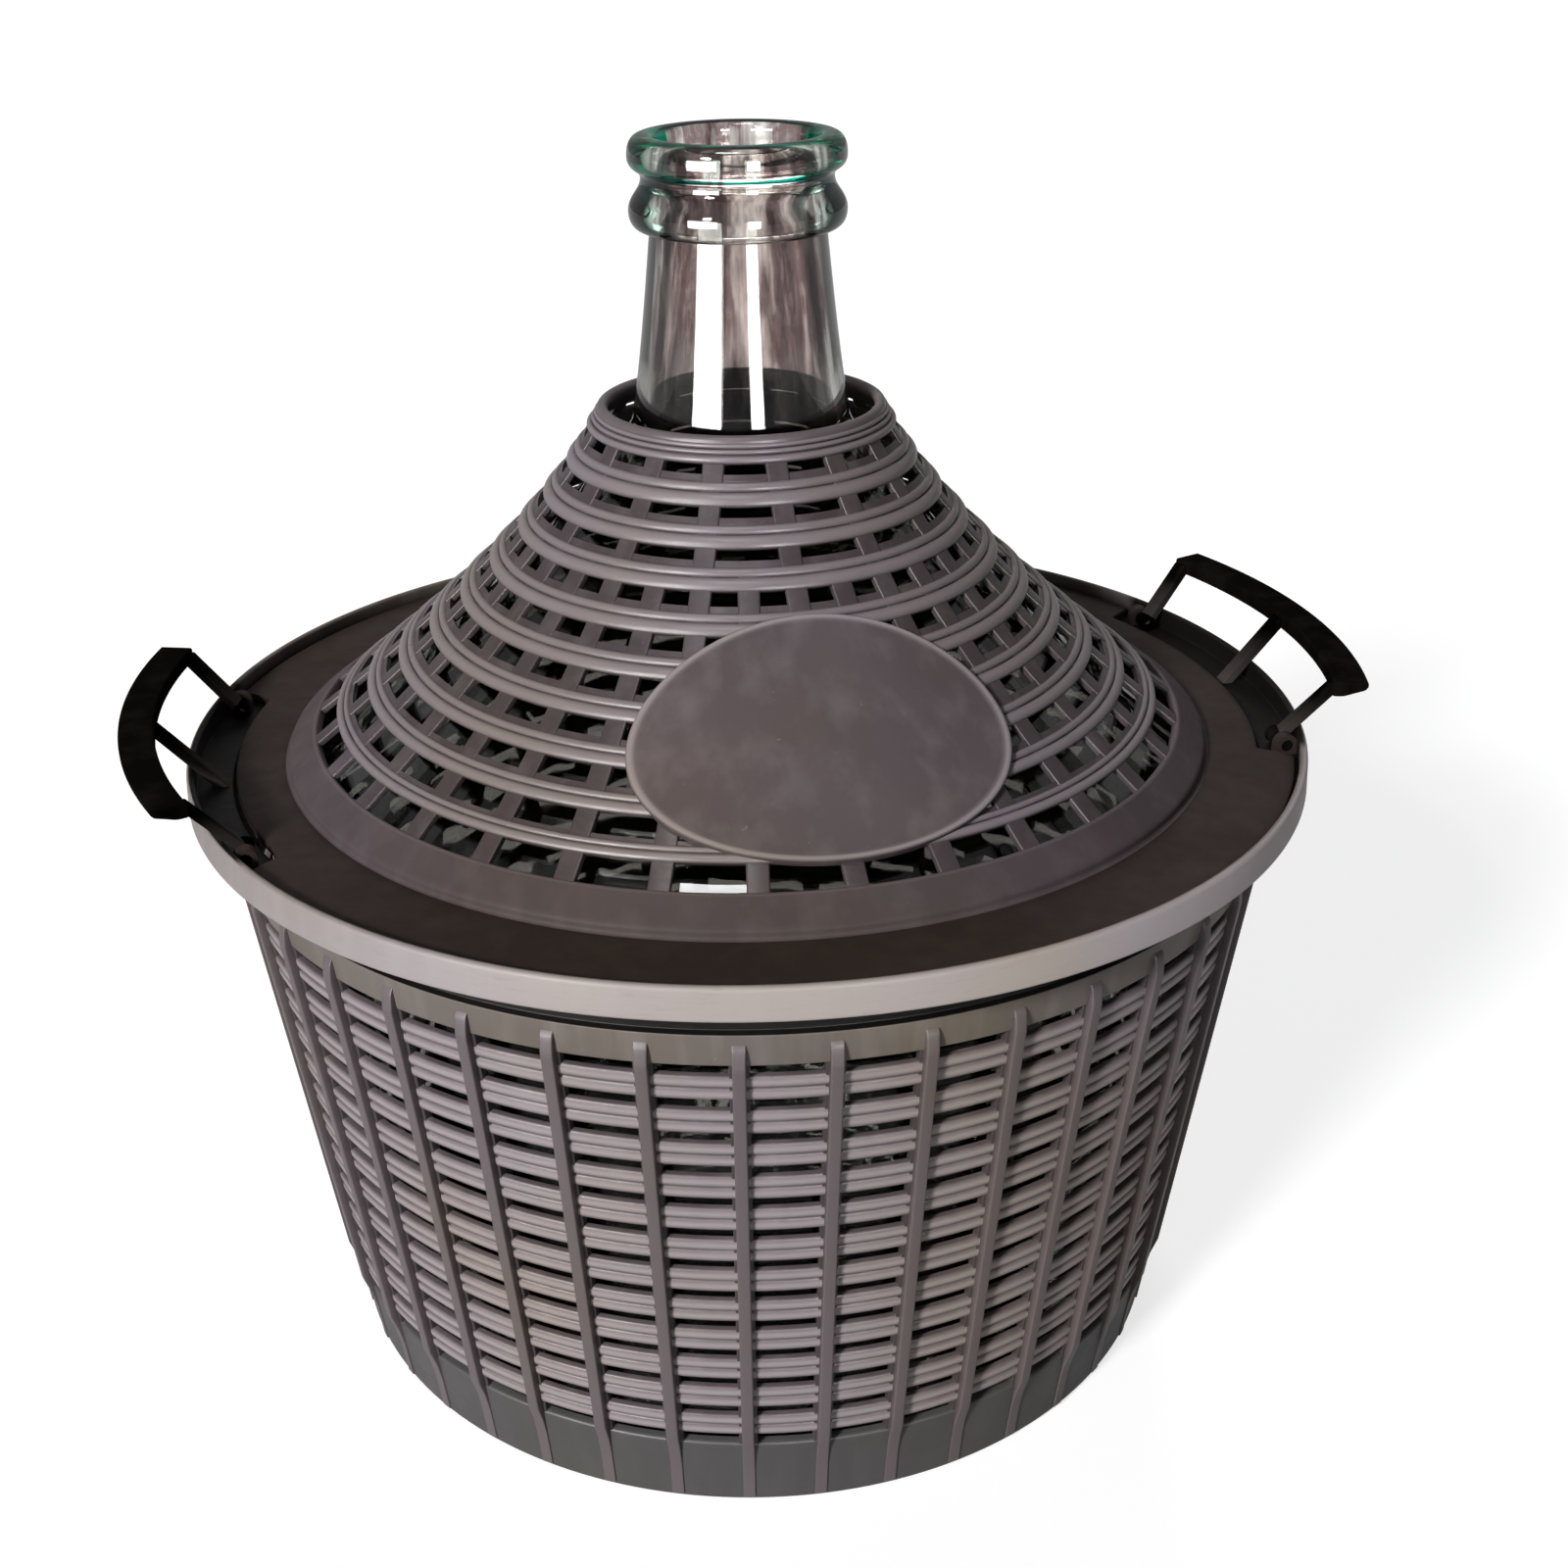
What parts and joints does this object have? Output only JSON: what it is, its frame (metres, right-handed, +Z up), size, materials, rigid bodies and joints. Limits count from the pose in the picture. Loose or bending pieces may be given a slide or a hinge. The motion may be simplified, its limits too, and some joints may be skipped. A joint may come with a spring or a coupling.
{
  "type": "demijohn basket",
  "caption": "Glass demijohn in a tapering slotted plastic basket, with a slotted cone lid seated in the rim, a bare oval plate on it and swinging carrying handles.",
  "frame": {"origin": "on the floor under the middle of the basket", "axes": "+Z up along the bottle's axis, -Y towards the plate on the lid, the handles on +X and -X"},
  "size_m": [0.4282, 0.3888, 0.421],
  "materials": {
    "basket_plastic": "satin dark brown-grey moulded polyethylene",
    "lid_plastic": "satin dark brown-grey moulded polyethylene",
    "handle_plastic": "glossy black moulded plastic",
    "clear_glass": "clear bottle glass with a faint green tint in its thick edges"
  },
  "bodies": {
    "basket": {"basket": "basket_plastic"},
    "demijohn": {"demijohn": "clear_glass"},
    "lid": {"lid": "lid_plastic"},
    "handle_right": {"handle_right": "handle_plastic"},
    "handle_left": {"handle_left": "handle_plastic"}
  },
  "joints": [
    {"name": "bottle_lift", "type": "slide", "parent": "basket", "child": "demijohn", "axis": [0, 0, 1], "range_m": [0, 0.23]},
    {"name": "lid_lift", "type": "slide", "parent": "demijohn", "child": "lid", "axis": [0, 0, 1], "range_m": [0, 0.215]},
    {"name": "handle_right_swing", "type": "hinge", "parent": "basket", "child": "handle_right", "pos_m": [0.17603, 0, 0.216], "axis": [0, -1, 0], "range_deg": [0, 30]},
    {"name": "handle_left_swing", "type": "hinge", "parent": "basket", "child": "handle_left", "pos_m": [-0.17603, 0, 0.216], "axis": [0, 1, 0], "range_deg": [0, 30]}
  ]
}
